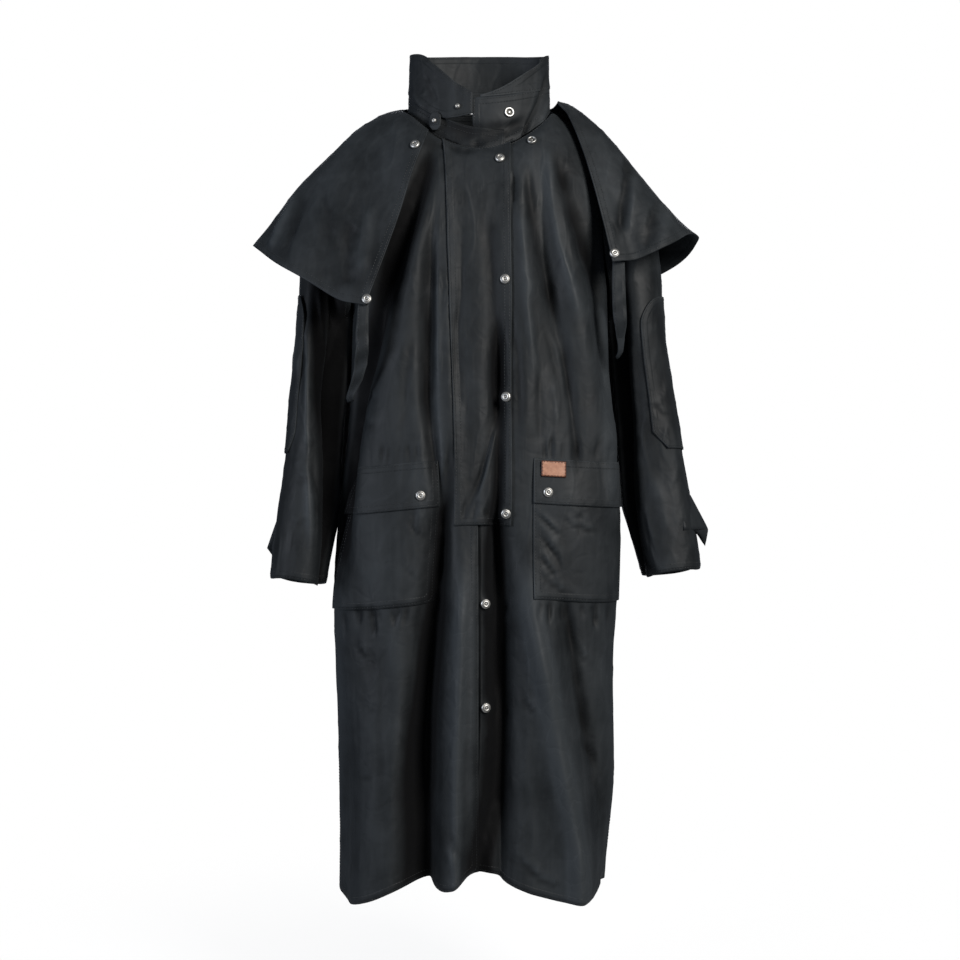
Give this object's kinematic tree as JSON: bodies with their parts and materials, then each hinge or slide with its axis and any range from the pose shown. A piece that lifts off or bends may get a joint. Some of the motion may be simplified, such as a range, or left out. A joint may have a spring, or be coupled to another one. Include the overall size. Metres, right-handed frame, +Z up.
{
  "type": "duster coat",
  "caption": "Long black waxed-cotton riding coat with a shoulder cape, raised collar, storm flap and patch pockets, in the hollow shape it hangs in.",
  "frame": {"origin": "middle of the neck, level with the points where the shoulder seams meet the collar", "axes": "+Z up along the coat, -Y the way the coat faces, -X the wearer's right"},
  "size_m": [0.7027, 0.3147, 1.3085],
  "materials": {
    "cloth": "black waxed cotton with a soft sheen",
    "metal": "aged nickel press studs",
    "leather": "smooth brown leather label, bare"
  },
  "bodies": {
    "root": {"back": "cloth", "right_front": "cloth", "left_front": "cloth", "storm_flap": "cloth", "collar_stand": "cloth", "collar": "cloth", "throat_latch": "cloth", "right_sleeve": "cloth", "left_sleeve": "cloth", "right_elbow_patch": "cloth", "left_elbow_patch": "cloth", "right_cuff_tab": "cloth", "left_cuff_tab": "cloth", "right_cape": "cloth", "left_cape": "cloth", "right_cape_strap": "cloth", "left_cape_strap": "cloth", "right_pocket": "cloth", "left_pocket": "cloth", "right_pocket_flap": "cloth", "left_pocket_flap": "cloth", "flap_snap_1": "metal", "flap_snap_2": "metal", "flap_snap_3": "metal", "flap_snap_4": "metal", "placket_snap_1": "metal", "placket_snap_2": "metal", "right_pocket_snap": "metal", "left_pocket_snap": "metal", "right_cape_neck_snap": "metal", "right_cape_corner_snap": "metal", "left_cape_corner_snap": "metal", "left_neck_stud": "metal", "throat_ring": "metal", "latch_snap": "metal", "throat_stud": "metal", "label": "leather"}
  },
  "joints": []
}
